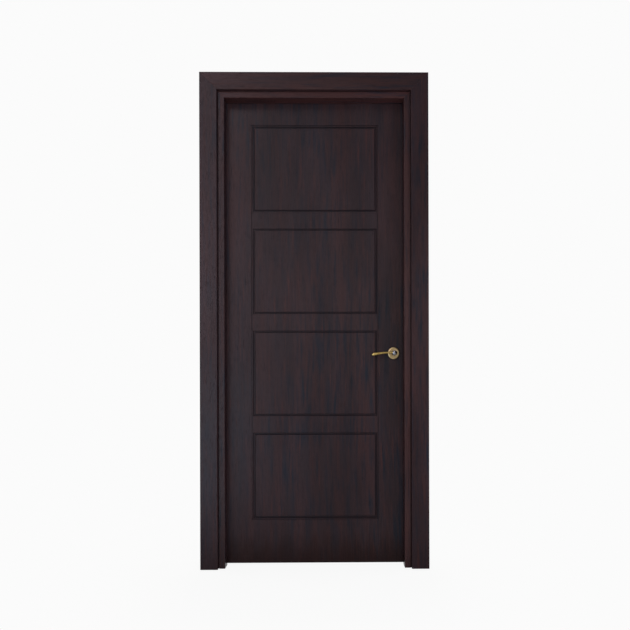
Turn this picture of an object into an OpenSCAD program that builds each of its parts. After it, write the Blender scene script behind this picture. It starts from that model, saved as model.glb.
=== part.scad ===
// Panelled front door with its frame.
// A flush leaf with routed panels hangs on three butt hinges in a rebated frame.
// Mitred architraves cover both sides of the wall, and a lever works a sprung latch.
// Sizes are in millimetres. +Z is up, the front faces -Y and +X is to the right.

/* [Leaf] */
// Width of the leaf
leaf_w = 800; // [700:10:950]
// Height of the leaf
leaf_h = 2050; // [1950:10:2250]
// Thickness of the leaf
leaf_t = 40; // [40:1:50]
// Thickness of each routed skin
skin_t = 8; // [7:0.5:9]
// Width of the timber stiles between the skins
core_stile_w = 100; // [95:5:115]
// Height of the timber rails between the skins
core_rail_h = 100; // [60:5:110]
// Gap between the leaf and the rebate, at the sides and the head
edge_gap = 3; // [2:0.5:4]
// Gap under the leaf
floor_gap = 6; // [4:1:12]

/* [Panels] */
// Number of panels, one above the other
panel_count = 4; // [2:1:6]
// Plain margin at each side of the panel field
side_margin = 119; // [110:1:140]
// Height of the plain rail above the top panel
top_rail_h = 114; // [100:1:150]
// Height of the rail between two panels
mid_rail_h = 84; // [60:1:110]
// Height of the plain rail under the bottom panel
bottom_rail_h = 203; // [150:1:260]
// Depth of the lowered field that holds the panels
field_depth = 2.5; // [1:0.25:2.5]
// Flat strip between the edge of the field and the centre of a groove
field_land = 10; // [8:0.5:16]
// Width of the groove round a panel, at its top
groove_w = 10; // [8:0.5:12]
// Width of the groove round a panel, at its floor
groove_floor_w = 5; // [3:0.5:6]
// Depth of the groove below the field
groove_depth = 3.5; // [2:0.25:4]

/* [Frame] */
// Thickness of a jamb behind the leaf edge
jamb_t = 30; // [28:1:36]
// Projection of the stop past the rebate
stop_t = 12; // [12:1:16]
// Distance from the front edge of the jamb to the face of the leaf
leaf_setback = 60; // [45:1:90]
// Gap between the stop and the leaf, filled by the seal
seal_gap = 3; // [2.5:0.25:4]
// Radius of the eased edges of a jamb
jamb_edge_r = 2; // [1:0.5:3]
// Width of an architrave
casing_w = 76; // [60:1:110]
// Thickness of an architrave
casing_t = 16; // [12:1:20]
// Strip of jamb left showing beside an architrave
casing_reveal = 29; // [24:1:30]
// Width of the quirk in the jamb beside an architrave
quirk_w = 4; // [2:0.5:6]
// Depth of the quirk
quirk_depth = 4; // [1:0.5:6]
// Radius of the eased edges of an architrave
casing_edge_r = 3; // [1:0.5:5]
// Thickness of the tongue on the back of an architrave
tongue_t = 5; // [4:0.5:6]
// Length of the tongue
tongue_l = 20; // [12:1:22]

/* [Hinges] */
// Height of a hinge
hinge_h = 100; // [80:5:125]
// Width of a hinge plate across the leaf edge
hinge_plate_w = 30; // [28:1:34]
// Thickness of a hinge plate
hinge_plate_t = 2.5; // [2:0.25:3]
// Radius of the hinge knuckles
knuckle_r = 6.5; // [6:0.25:6.75]
// Radius of a hinge pin
hinge_pin_r = 4; // [3:0.25:4.25]
// Height of the bottom hinge centre above the lower edge of the leaf
hinge_rise = 250; // [200:10:300]
// Depth of the top hinge centre below the upper edge of the leaf
hinge_drop = 200; // [150:10:250]

/* [Handle] */
// Height of the handle axis above the floor
handle_z = 937; // [900:1:1050]
// Distance from the leaf edge to the handle axis
backset = 50; // [50:1:55]
// Radius of a rose
rose_r = 27; // [25:0.5:30]
// Height of a rose above the leaf
rose_h = 9; // [8:0.5:12]
// Projection of a lever from the leaf
lever_projection = 58; // [56:1:70]
// Distance from the handle axis to the tip of a lever
lever_reach = 100; // [85:1:120]
// Height of a lever near its neck
lever_neck_h = 8; // [7:0.5:11]
// Height of a lever near its tip
lever_tip_h = 14; // [9:0.5:16]
// Thickness of a lever
lever_t = 12; // [10:0.5:12]
// Fall of a lever from its neck to its tip
lever_drop = 10; // [0:0.5:12]
// Radius of a lever's neck
neck_r = 10.5; // [9.5:0.25:11]
// Width of the square spindle
spindle_w = 8; // [7:0.5:9]

/* [Latch] */
// Travel of the latch bolt
latch_travel = 12; // [10:0.5:12]
// Height of the latch bolt head
latch_head_h = 22; // [18:1:24]
// Thickness of the latch bolt head
latch_head_t = 10.8; // [9:0.1:10.8]
// Height of the latch bolt above the handle axis
latch_rise = 15; // [15:0.5:16]
// Length of the latch case behind its front plate
case_l = 75; // [74:1:78]
// Thickness of the latch case
case_t = 14; // [14:0.5:16]
// Thickness of the case sheet
sheet_t = 1.2; // [1:0.1:1.2]
// Height of the front plate of the latch
forend_h = 170; // [150:5:200]
// Width of the front plate of the latch
forend_w = 20; // [18:1:22]
// Thickness of the front plate of the latch
forend_t = 3; // [2.5:0.25:3]

/* [Fasteners] */
// Radius of the holes for the wall fixings
wall_hole_r = 4; // [3:0.5:5]
// Radius of a wood screw
screw_r = 2.2; // [1.8:0.1:2.5]
// Radius of a wood screw's head
screw_head_r = 4.2; // [3.6:0.1:4.6]
// Length of a wood screw
screw_l = 14; // [10:1:14]
// Radius of a rose bolt
rose_bolt_r = 2; // [1.5:0.25:2.5]

/* [Clearances] */
// Radial clearance of a turning fit
run_fit = 0.05; // [0.02:0.01:0.1]
// Gap between parts that move past each other
move_gap = 0.4; // [0.3:0.05:0.5]
// Clearance of a piece that is set into a recess
seat_fit = 0.05; // [0:0.01:0.1]
// Clearance at each side of a tongue
tongue_fit = 0.2; // [0.1:0.05:0.4]

/* [Hidden] */
$fn = 48;
wood = [0.2, 0.16, 0.17];
gold = [0.68, 0.56, 0.36];
silver = [0.66, 0.66, 0.68];
steel = [0.55, 0.55, 0.57];
rubber = [0.1, 0.09, 0.09];

// Positions across the width, as distances from the middle of the doorway
leaf_x = leaf_w / 2;
rebate_x = leaf_x + edge_gap;
clear_x = rebate_x - stop_t;
frame_x = rebate_x + jamb_t;
casing_in_x = clear_x + casing_reveal;
casing_out_x = casing_in_x + casing_w;

// Positions in depth, with the whole door centred on zero
front_y = (casing_t - leaf_setback - leaf_t - lever_projection) / 2;
leaf_front_y = front_y + leaf_setback;
back_y = leaf_front_y + leaf_t;
mid_y = leaf_front_y + leaf_t / 2;
stop_y = leaf_front_y - seal_gap;

// Heights
leaf_z = floor_gap;
leaf_top_z = leaf_z + leaf_h;
rebate_z = leaf_top_z + edge_gap;
clear_z = rebate_z - stop_t;
mitre_z = clear_z - clear_x;
top_z = mitre_z + casing_out_x;

// Seal in the stop
seal_x = clear_x + stop_t / 2;
seal_stem_w = 3;
seal_stem_l = 8;
seal_bulb_w = 9;
seal_bulb_h = seal_gap - 0.3;
seal_r = (pow(seal_bulb_w / 2, 2) + pow(seal_bulb_h, 2)) / (2 * seal_bulb_h);
seal_a = asin(seal_bulb_w / 2 / seal_r);

// Tongue of an architrave, in the part that covers the jamb
tongue_x = frame_x - 7;
tongue_room = 2;

// Panels
panel_h = (leaf_h - top_rail_h - bottom_rail_h - (panel_count - 1) * mid_rail_h) / panel_count;
panel_pitch = panel_h + mid_rail_h;
panel_z = leaf_z + bottom_rail_h;
field_x = leaf_x - side_margin;
panel_x = field_x - field_land;
field_step = 1;
field_y = leaf_front_y + field_depth;
groove_y = field_y + groove_depth;
groove_slope = (groove_w - groove_floor_w) / 2 / groove_depth;

// Hinges
pin_x = (leaf_x + rebate_x) / 2;
pin_y = back_y + 7;
knuckle_gap = 0.3;
knuckle_count = 5;
knuckle_h = (hinge_h - (knuckle_count - 1) * knuckle_gap) / knuckle_count;
pin_head_r = 5.5;
pin_head_h = 3;
hinge_bottom_z = leaf_z + hinge_rise;
hinge_top_z = leaf_top_z - hinge_drop;
hinge_middle_z = (hinge_bottom_z + hinge_top_z) / 2;
hinge_zs = [hinge_bottom_z, hinge_middle_z, hinge_top_z];

// Wall fixings, in the rebate where the leaf hides them
wall_hole_y = stop_y + 8;
wall_hole_zs = [
    100,
    (hinge_bottom_z + hinge_middle_z) / 2,
    (hinge_middle_z + hinge_top_z) / 2,
    leaf_top_z - 60
];

// Handle
handle_x = leaf_x - backset;
rose_wall = 1.5;
rose_edge_r = 5;
base_r = rose_r - rose_wall - 0.2;
base_t = 5;
cap_r = neck_r;
cap_stem_r = 8;
cap_seat = 2;
cap_rise = 5;
cap_dome_r = (pow(cap_r, 2) + pow(cap_rise, 2)) / (2 * cap_rise);
hub_y = leaf_front_y - lever_projection + cap_rise;
lever_y = hub_y + lever_t / 2 + 0.5;
spindle_fit = 0.05;
spindle_l = lever_projection - 18;
spindle_hole_r = 9;
lever_rise = 2;
lever_round = 0.92;
lever_steps = 12;
lever_sides = 16;
grub_r = 2.5;
grub_y = leaf_front_y - rose_h - 10;
rose_bolt_x = 19;
rose_bolt_head_r = rose_bolt_r + 1.6;
rose_bolt_head_h = 2.2;

// Latch
latch_z = handle_z + latch_rise;
case_x1 = leaf_x - forend_t;
case_x0 = case_x1 - case_l;
case_z0 = handle_z - 27;
case_z1 = handle_z + 43;
case_inner_t = case_t / 2 - sheet_t;
forend_z = (case_z0 + case_z1) / 2;
follower_r = 9;
trunnion_r = 7.5;
arm_l = 20;
arm_w = 6;
arm_t = 4;
yoke_wall = 5;
yoke_gap = 1;
yoke_h = 6;
yoke_t = 10;
yoke_x0 = handle_x - arm_w / 2 - yoke_gap;
yoke_x1 = handle_x + arm_w / 2 + latch_travel + yoke_gap;
yoke_end_x = yoke_x1 + 3;
stem_r = 3;
tab_x0 = yoke_end_x + move_gap;
tab_x1 = tab_x0 + 1.6;
head_x0 = leaf_x - 8;
head_x1 = leaf_x + latch_travel;
spring_r = 4.7;
spring_wire_r = 0.45;
spring_turns = 6;

// Strike plate
strike_t = 2;
strike_w = 24;
strike_h = 70;
strike_hole_w = latch_head_t + 4;
strike_hole_h = latch_head_h + 4;
strike_room_x = head_x1 + 5;

// Shapes shared by several parts

function arc(cx, cy, r, a0, a1, steps) = [
    for (i = [0:steps])
        let (a = a0 + (a1 - a0) * i / steps)
        [cx + r * cos(a), cy + r * sin(a)]
];

module box(x0, x1, y0, y1, z0, z1) {
    translate([x0, y0, z0])
        cube([x1 - x0, y1 - y0, z1 - z0]);
}

module rod_x(x0, x1, y, z, r) {
    translate([x0, y, z])
        rotate([0, 90, 0])
            cylinder(h = x1 - x0, r = r);
}

module rod_y(x, y0, y1, z, r) {
    translate([x, y1, z])
        rotate([90, 0, 0])
            cylinder(h = y1 - y0, r = r);
}

module rod_z(x, y, z0, z1, r) {
    translate([x, y, z0])
        cylinder(h = z1 - z0, r = r);
}

// Block between two rectangles, at depth ya grown by ga and at depth yb grown by gb
module frustum(x, z0, z1, ya, ga, yb, gb) {
    polyhedron(
        points = [
            [-x - ga, ya, z0 - ga], [x + ga, ya, z0 - ga],
            [x + ga, ya, z1 + ga], [-x - ga, ya, z1 + ga],
            [-x - gb, yb, z0 - gb], [x + gb, yb, z0 - gb],
            [x + gb, yb, z1 + gb], [-x - gb, yb, z1 + gb]
        ],
        faces = [
            [3, 2, 1, 0], [4, 5, 6, 7],
            [0, 1, 5, 4], [1, 2, 6, 5], [2, 3, 7, 6], [3, 0, 4, 7]
        ]
    );
}

// Mirror images: to the lock side, to the back of the leaf, to the back of the frame
module on_lock_side() {
    mirror([1, 0, 0])
        children();
}

module on_leaf_back() {
    translate([0, 2 * mid_y, 0])
        mirror([0, 1, 0])
            children();
}

module on_frame_back() {
    translate([0, front_y + back_y, 0])
        mirror([0, 1, 0])
            children();
}

// Wood screw along X, with its head flush at x and its point towards the side given
module screw_x(x, y, z, side) {
    translate([x, y, z])
        rotate([0, 90 * side, 0]) {
            cylinder(h = screw_head_r - screw_r, r1 = screw_head_r, r2 = screw_r);
            cylinder(h = screw_l, r = screw_r);
        }
}

module screw_room_x(x, y, z, side) {
    translate([x, y, z])
        rotate([0, 90 * side, 0]) {
            translate([0, 0, -1])
                cylinder(h = 1, r = screw_head_r);
            cylinder(h = screw_head_r - screw_r, r1 = screw_head_r, r2 = screw_r);
            cylinder(h = screw_l + 0.5, r = screw_r + seat_fit);
        }
}

// Frame

module front_prism(points) {
    translate([0, back_y + casing_t + 5, 0])
        rotate([90, 0, 0])
            linear_extrude(back_y - front_y + 2 * casing_t + 10)
                polygon(points);
}

// A length of moulding up the hinge side, cut at the mitre
module side_length() {
    far = casing_out_x + 5;
    intersection() {
        linear_extrude(top_z)
            children();
        front_prism([[-far, -1], [-1, -1], [-1, mitre_z + 1], [-far, mitre_z + far]]);
    }
}

// A length of the same moulding across the head, cut at both mitres
module head_length() {
    far = casing_out_x + 5;
    intersection() {
        translate([-casing_out_x, 0, mitre_z])
            rotate([0, 90, 0])
                linear_extrude(2 * casing_out_x)
                    children();
        front_prism([[0, mitre_z], [far, mitre_z + far], [-far, mitre_z + far]]);
    }
}

module tongue_groove() {
    translate([-tongue_x - tongue_t / 2 - tongue_fit, front_y - 1])
        square([tongue_t + 2 * tongue_fit, tongue_l + tongue_room + 1]);
}

module quirk() {
    translate([-casing_in_x, front_y - 1])
        square([quirk_w, quirk_depth + 1]);
}

module jamb_section() {
    r = jamb_edge_r;
    difference() {
        polygon(concat(
            [[-frame_x, back_y], [-frame_x, front_y]],
            arc(-clear_x - r, front_y + r, r, -90, 0, 4),
            arc(-clear_x - r, stop_y - r, r, 0, 90, 4),
            [[-rebate_x, stop_y], [-rebate_x, back_y]]
        ));
        tongue_groove();
        quirk();
        translate([0, front_y + back_y])
            mirror([0, 1]) {
                tongue_groove();
                quirk();
            }
        translate([-seal_x - seal_stem_w / 2, stop_y - seal_stem_l])
            square([seal_stem_w, seal_stem_l + 1]);
    }
}

module casing_section() {
    r = casing_edge_r;
    face_y = front_y - casing_t;
    polygon(concat(
        [[-casing_out_x, front_y]],
        arc(-casing_out_x + r, face_y + r, r, 180, 270, 4),
        arc(-casing_in_x - r, face_y + r, r, -90, 0, 4),
        [
            [-casing_in_x, front_y],
            [-tongue_x + tongue_t / 2, front_y],
            [-tongue_x + tongue_t / 2, front_y + tongue_l],
            [-tongue_x - tongue_t / 2, front_y + tongue_l],
            [-tongue_x - tongue_t / 2, front_y]
        ]
    ));
}

module seal_section() {
    polygon(concat(
        [
            [-seal_x - seal_stem_w / 2, stop_y],
            [-seal_x - seal_stem_w / 2, stop_y - seal_stem_l],
            [-seal_x + seal_stem_w / 2, stop_y - seal_stem_l],
            [-seal_x + seal_stem_w / 2, stop_y]
        ],
        arc(-seal_x, stop_y + seal_bulb_h - seal_r, seal_r, 90 - seal_a, 90 + seal_a, 8)
    ));
}

module wall_fixings() {
    for (z = wall_hole_zs)
        rod_x(-frame_x - 1, -rebate_x + 1, wall_hole_y, z, wall_hole_r);
}

module hinge_jamb() {
    color(wood)
        difference() {
            side_length()
                jamb_section();
            wall_fixings();
            for (z = hinge_zs) {
                frame_plate_blank(z, 1, 1);
                plate_screw_places(z)
                    screw_room_x(-rebate_x, 0, 0, -1);
            }
        }
}

module lock_jamb() {
    color(wood)
        difference() {
            on_lock_side()
                side_length()
                    jamb_section();
            on_lock_side()
                wall_fixings();
            strike_blank(1);
            box(
                rebate_x, strike_room_x,
                mid_y - strike_hole_w / 2, mid_y + strike_hole_w / 2,
                latch_z - strike_hole_h / 2, latch_z + strike_hole_h / 2
            );
            strike_screw_places()
                screw_room_x(rebate_x, 0, 0, 1);
        }
}

module head_jamb() {
    color(wood)
        head_length()
            jamb_section();
}

module front_casing_hinge_side() {
    color(wood)
        side_length()
            casing_section();
}

module front_casing_lock_side() {
    color(wood)
        on_lock_side()
            side_length()
                casing_section();
}

module front_casing_head() {
    color(wood)
        head_length()
            casing_section();
}

module back_casing_hinge_side() {
    color(wood)
        on_frame_back()
            side_length()
                casing_section();
}

module back_casing_lock_side() {
    color(wood)
        on_frame_back()
            on_lock_side()
                side_length()
                    casing_section();
}

module back_casing_head() {
    color(wood)
        on_frame_back()
            head_length()
                casing_section();
}

module seal_hinge_side() {
    color(rubber)
        side_length()
            seal_section();
}

module seal_lock_side() {
    color(rubber)
        on_lock_side()
            side_length()
                seal_section();
}

module seal_head() {
    color(rubber)
        head_length()
            seal_section();
}

module strike_blank(proud) {
    box(
        rebate_x - proud, rebate_x + strike_t,
        mid_y - strike_w / 2, mid_y + strike_w / 2,
        latch_z - strike_h / 2, latch_z + strike_h / 2
    );
}

module strike_screw_places() {
    for (side = [-1, 1])
        translate([0, mid_y, latch_z + side * (strike_h / 2 - 9)])
            children();
}

module strike_plate() {
    color(steel)
        difference() {
            strike_blank(0);
            box(
                rebate_x - 1, rebate_x + strike_t + 1,
                mid_y - strike_hole_w / 2, mid_y + strike_hole_w / 2,
                latch_z - strike_hole_h / 2, latch_z + strike_hole_h / 2
            );
            strike_screw_places()
                screw_room_x(rebate_x, 0, 0, 1);
        }
}

module strike_screws() {
    color(steel)
        strike_screw_places()
            screw_x(rebate_x, 0, 0, 1);
}

// Hinges

function knuckle_z(z, i) = z - hinge_h / 2 + i * (knuckle_h + knuckle_gap);

module knuckles(z, numbers) {
    for (i = numbers)
        rod_z(-pin_x, pin_y, knuckle_z(z, i), knuckle_z(z, i) + knuckle_h, knuckle_r);
}

module knuckle_rooms(z, numbers) {
    for (i = numbers)
        box(
            -pin_x - knuckle_r - 1, -pin_x + knuckle_r + 1,
            back_y, pin_y + knuckle_r + 1,
            knuckle_z(z, i) - knuckle_gap, knuckle_z(z, i) + knuckle_h + knuckle_gap
        );
}

module frame_plate_blank(z, proud, over) {
    box(
        -rebate_x - hinge_plate_t, -rebate_x + proud,
        back_y - hinge_plate_w, back_y + over,
        z - hinge_h / 2, z + hinge_h / 2
    );
}

module door_plate_blank(z, proud, over) {
    box(
        -leaf_x - proud, -leaf_x + hinge_plate_t,
        back_y - hinge_plate_w, back_y + over,
        z - hinge_h / 2, z + hinge_h / 2
    );
}

module plate_screw_places(z) {
    for (i = [0:3])
        translate([
            0,
            back_y - hinge_plate_w * (i % 2 == 0 ? 0.68 : 0.32),
            z + hinge_h * (i - 1.5) * 0.25
        ])
            children();
}

module hinge_bore(z) {
    rod_z(-pin_x, pin_y, z - hinge_h, z + hinge_h, hinge_pin_r + run_fit);
}

module hinge_frame_plate(z) {
    difference() {
        union() {
            frame_plate_blank(z, 0, pin_y - back_y - 3);
            knuckles(z, [0, 2, 4]);
        }
        knuckle_rooms(z, [1, 3]);
        hinge_bore(z);
        plate_screw_places(z)
            screw_room_x(-rebate_x, 0, 0, -1);
    }
}

module hinge_door_plate(z) {
    difference() {
        union() {
            door_plate_blank(z, 0, pin_y - back_y - 3);
            knuckles(z, [1, 3]);
        }
        knuckle_rooms(z, [0, 2, 4]);
        hinge_bore(z);
        plate_screw_places(z)
            screw_room_x(-leaf_x, 0, 0, 1);
    }
}

module hinge_pin(z) {
    rod_z(-pin_x, pin_y, z - hinge_h / 2, z + hinge_h / 2 + pin_head_h, hinge_pin_r);
    rod_z(-pin_x, pin_y, z + hinge_h / 2, z + hinge_h / 2 + pin_head_h, pin_head_r);
}

module hinge_frame_plate_bottom() {
    color(steel)
        hinge_frame_plate(hinge_bottom_z);
}

module hinge_frame_plate_middle() {
    color(steel)
        hinge_frame_plate(hinge_middle_z);
}

module hinge_frame_plate_top() {
    color(steel)
        hinge_frame_plate(hinge_top_z);
}

module hinge_door_plate_bottom() {
    color(steel)
        hinge_door_plate(hinge_bottom_z);
}

module hinge_door_plate_middle() {
    color(steel)
        hinge_door_plate(hinge_middle_z);
}

module hinge_door_plate_top() {
    color(steel)
        hinge_door_plate(hinge_top_z);
}

module hinge_pin_bottom() {
    color(steel)
        hinge_pin(hinge_bottom_z);
}

module hinge_pin_middle() {
    color(steel)
        hinge_pin(hinge_middle_z);
}

module hinge_pin_top() {
    color(steel)
        hinge_pin(hinge_top_z);
}

module hinge_frame_screws() {
    color(steel)
        for (z = hinge_zs)
            plate_screw_places(z)
                screw_x(-rebate_x, 0, 0, -1);
}

module hinge_door_screws() {
    color(steel)
        for (z = hinge_zs)
            plate_screw_places(z)
                screw_x(-leaf_x, 0, 0, 1);
}

// Leaf

function groove_half(y) = groove_floor_w / 2 + groove_slope * (groove_y - y);

// Groove round one panel, with sloping walls that meet at mitred corners
module panel_groove(z0) {
    top_y = leaf_front_y - 1;
    difference() {
        frustum(panel_x, z0, z0 + panel_h, top_y, groove_half(top_y), groove_y, groove_half(groove_y));
        frustum(
            panel_x, z0, z0 + panel_h,
            top_y - 0.5, -groove_half(top_y - 0.5),
            groove_y + 0.5, -groove_half(groove_y + 0.5)
        );
    }
}

// Lowered field with its panels, cut from the front face of the leaf
module panel_routing() {
    frustum(
        field_x, panel_z - field_land, leaf_top_z - top_rail_h + field_land,
        leaf_front_y - 1, field_step * (1 + 1 / field_depth), field_y, 0
    );
    for (i = [0:panel_count - 1])
        panel_groove(panel_z + i * panel_pitch);
}

module handle_holes() {
    rod_y(handle_x, leaf_front_y - 1, back_y + 1, handle_z, spindle_hole_r);
    rose_bolt_places()
        rod_y(0, leaf_front_y - 1, back_y + 1, 0, rose_bolt_r + 0.6);
}

module hinge_housings() {
    for (z = hinge_zs) {
        door_plate_blank(z, 1, 1);
        plate_screw_places(z)
            screw_room_x(-leaf_x, 0, 0, 1);
    }
}

module leaf_front_skin() {
    color(wood)
        difference() {
            box(-leaf_x, leaf_x, leaf_front_y, leaf_front_y + skin_t, leaf_z, leaf_top_z);
            panel_routing();
            handle_holes();
        }
}

module leaf_back_skin() {
    color(wood)
        difference() {
            box(-leaf_x, leaf_x, back_y - skin_t, back_y, leaf_z, leaf_top_z);
            on_leaf_back()
                panel_routing();
            handle_holes();
            hinge_housings();
        }
}

module leaf_hinge_stile() {
    color(wood)
        difference() {
            box(
                -leaf_x, -leaf_x + core_stile_w,
                leaf_front_y + skin_t, back_y - skin_t, leaf_z, leaf_top_z
            );
            hinge_housings();
        }
}

module leaf_lock_stile() {
    color(wood)
        difference() {
            box(
                leaf_x - core_stile_w, leaf_x,
                leaf_front_y + skin_t, back_y - skin_t, leaf_z, leaf_top_z
            );
            handle_holes();
            box(
                case_x0 - 0.5, leaf_x,
                mid_y - case_t / 2 - 0.5, mid_y + case_t / 2 + 0.5,
                case_z0 - 0.5, case_z1 + 0.5
            );
            forend_blank(1);
            forend_screw_places()
                screw_room_x(leaf_x, 0, 0, -1);
        }
}

module leaf_rail(z0, z1) {
    box(
        -leaf_x + core_stile_w, leaf_x - core_stile_w,
        leaf_front_y + skin_t, back_y - skin_t, z0, z1
    );
}

module leaf_top_rail() {
    color(wood)
        leaf_rail(leaf_top_z - core_rail_h, leaf_top_z);
}

module leaf_bottom_rail() {
    color(wood)
        leaf_rail(leaf_z, leaf_z + core_rail_h);
}

module leaf_core() {
    color(wood)
        leaf_rail(leaf_z + core_rail_h, leaf_top_z - core_rail_h);
}

// Latch

module forend_blank(proud) {
    box(
        leaf_x - forend_t, leaf_x + proud,
        mid_y - forend_w / 2, mid_y + forend_w / 2,
        forend_z - forend_h / 2, forend_z + forend_h / 2
    );
}

module forend_screw_places() {
    for (side = [-1, 1])
        translate([0, mid_y, forend_z + side * (forend_h / 2 - 12)])
            children();
}

module latch_way() {
    box(
        case_x1 - sheet_t - 1, leaf_x + 1,
        mid_y - latch_head_t / 2 - move_gap, mid_y + latch_head_t / 2 + move_gap,
        latch_z - latch_head_h / 2 - move_gap, latch_z + latch_head_h / 2 + move_gap
    );
}

module case_holes() {
    rod_y(handle_x, mid_y - case_t, mid_y + case_t, handle_z, trunnion_r + run_fit);
    rose_bolt_places()
        rod_y(0, mid_y - case_t, mid_y + case_t, 0, rose_bolt_r + 0.6);
}

module latch_case() {
    color(steel)
        difference() {
            union() {
                difference() {
                    box(
                        case_x0, case_x1,
                        mid_y - case_inner_t, mid_y + case_t / 2, case_z0, case_z1
                    );
                    box(
                        case_x0 + sheet_t, case_x1 - sheet_t,
                        mid_y - case_t, mid_y + case_inner_t,
                        case_z0 + sheet_t, case_z1 - sheet_t
                    );
                }
                box(
                    tab_x0, tab_x1,
                    mid_y - case_inner_t + 0.5, mid_y + case_inner_t + sheet_t / 2,
                    latch_z - 7, latch_z + 7
                );
            }
            rod_x(tab_x0 - 1, tab_x1 + 1, mid_y, latch_z, stem_r + move_gap);
            box(
                tab_x0 - 1, tab_x1 + 1,
                mid_y - case_t, mid_y,
                latch_z - stem_r - move_gap, latch_z + stem_r + move_gap
            );
            latch_way();
            case_holes();
        }
}

module latch_case_lid() {
    color(steel)
        difference() {
            box(
                case_x0, case_x1,
                mid_y - case_t / 2, mid_y - case_inner_t, case_z0, case_z1
            );
            case_holes();
        }
}

module latch_forend() {
    color(steel)
        difference() {
            forend_blank(0);
            latch_way();
            forend_screw_places()
                screw_room_x(leaf_x, 0, 0, -1);
        }
}

module forend_screws() {
    color(steel)
        forend_screw_places()
            screw_x(leaf_x, 0, 0, -1);
}

// Coil along X, with the wire swept as rings of points
module coil(x0, x1, r, wire_r, turns) {
    steps = turns * 14;
    sides = 6;
    points = [
        for (i = [0:steps], k = [0:sides - 1])
            let (
                a = 360 * turns * i / steps,
                b = 360 * k / sides,
                reach = r + wire_r * cos(b)
            )
            [x0 + (x1 - x0) * i / steps + wire_r * sin(b), reach * cos(a), reach * sin(a)]
    ];
    walls = [
        for (i = [0:steps - 1], k = [0:sides - 1])
            let (
                p = i * sides + k,
                q = i * sides + (k + 1) % sides
            )
            each [[p, q, p + sides], [q, q + sides, p + sides]]
    ];
    ends = [
        [for (k = [sides - 1:-1:0]) k],
        [for (k = [0:sides - 1]) steps * sides + k]
    ];
    polyhedron(points = points, faces = concat(walls, ends));
}

module latch_spring() {
    color(silver)
        translate([0, mid_y, latch_z])
            coil(
                tab_x1 + spring_wire_r, head_x0 - move_gap - spring_wire_r,
                spring_r, spring_wire_r, spring_turns
            );
}

// The head is bevelled on the side that meets the strike when the leaf closes
module latch_bolt() {
    half = latch_head_t / 2;
    color(steel) {
        translate([0, mid_y, latch_z - latch_head_h / 2])
            linear_extrude(latch_head_h)
                polygon([
                    [head_x0, -half], [leaf_x + 1.5, -half], [head_x1, half - 2],
                    [head_x1, half], [head_x0, half]
                ]);
        rod_x(yoke_end_x - 1, head_x0 + 1, mid_y, latch_z, stem_r);
        difference() {
            box(
                yoke_x0 - yoke_wall, yoke_end_x,
                mid_y - yoke_t / 2, mid_y + yoke_t / 2,
                latch_z - yoke_h / 2, latch_z + yoke_h / 2
            );
            box(
                yoke_x0, yoke_x1,
                mid_y - arm_t / 2 - move_gap, mid_y + arm_t / 2 + move_gap,
                latch_z - yoke_h, latch_z + yoke_h
            );
        }
    }
}

module latch_follower() {
    color(steel)
        difference() {
            union() {
                rod_y(
                    handle_x, mid_y - case_inner_t + move_gap, mid_y + case_inner_t - move_gap,
                    handle_z, follower_r
                );
                rod_y(handle_x, mid_y - case_t / 2, mid_y + case_t / 2, handle_z, trunnion_r);
                box(
                    handle_x - arm_w / 2, handle_x + arm_w / 2,
                    mid_y - arm_t / 2, mid_y + arm_t / 2, handle_z, handle_z + arm_l
                );
            }
            spindle_bar(spindle_fit, case_t);
        }
}

// Handle

module rose_bolt_places() {
    for (side = [-1, 1])
        translate([handle_x + side * rose_bolt_x, 0, handle_z])
            children();
}

// Square bar on the handle axis, grown by the fit and reaching a length each way
module spindle_bar(fit, reach) {
    half = spindle_w / 2 + fit;
    box(
        handle_x - half, handle_x + half,
        mid_y - reach, mid_y + reach, handle_z - half, handle_z + half
    );
}

module spindle() {
    color(steel)
        spindle_bar(0, leaf_t / 2 + spindle_l);
}

module rose_base() {
    difference() {
        rod_y(handle_x, leaf_front_y - base_t, leaf_front_y, handle_z, base_r);
        rod_y(handle_x, leaf_front_y - rose_h, leaf_front_y + 1, handle_z, neck_r + run_fit);
        rose_bolt_places() {
            rod_y(0, leaf_front_y - rose_h, leaf_front_y + 1, 0, rose_bolt_r + seat_fit);
            rod_y(
                0, leaf_front_y - rose_h, leaf_front_y - base_t + rose_bolt_head_h,
                0, rose_bolt_head_r + seat_fit
            );
        }
    }
}

module rose_cover() {
    inner_r = neck_r + move_gap;
    translate([handle_x, leaf_front_y, handle_z])
        rotate([90, 0, 0])
            rotate_extrude()
                polygon(concat(
                    [
                        [inner_r, rose_h - rose_wall],
                        [rose_r - rose_wall, rose_h - rose_wall],
                        [rose_r - rose_wall, 0]
                    ],
                    [[rose_r, 0]],
                    arc(rose_r - rose_edge_r, rose_h - rose_edge_r, rose_edge_r, 0, 90, 5),
                    [[inner_r, rose_h]]
                ));
}

module rose_base_front() {
    color(steel)
        rose_base();
}

module rose_base_back() {
    color(steel)
        on_leaf_back()
            rose_base();
}

module rose_cover_front() {
    color(gold)
        rose_cover();
}

module rose_cover_back() {
    color(gold)
        on_leaf_back()
            rose_cover();
}

module rose_bolts() {
    y0 = leaf_front_y - base_t;
    y1 = back_y + base_t;
    color(steel)
        rose_bolt_places() {
            rod_y(0, y0, y1, 0, rose_bolt_r);
            rod_y(0, y0, y0 + rose_bolt_head_h, 0, rose_bolt_head_r);
            rod_y(0, y1 - rose_bolt_head_h, y1, 0, rose_bolt_head_r);
        }
}

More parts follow.
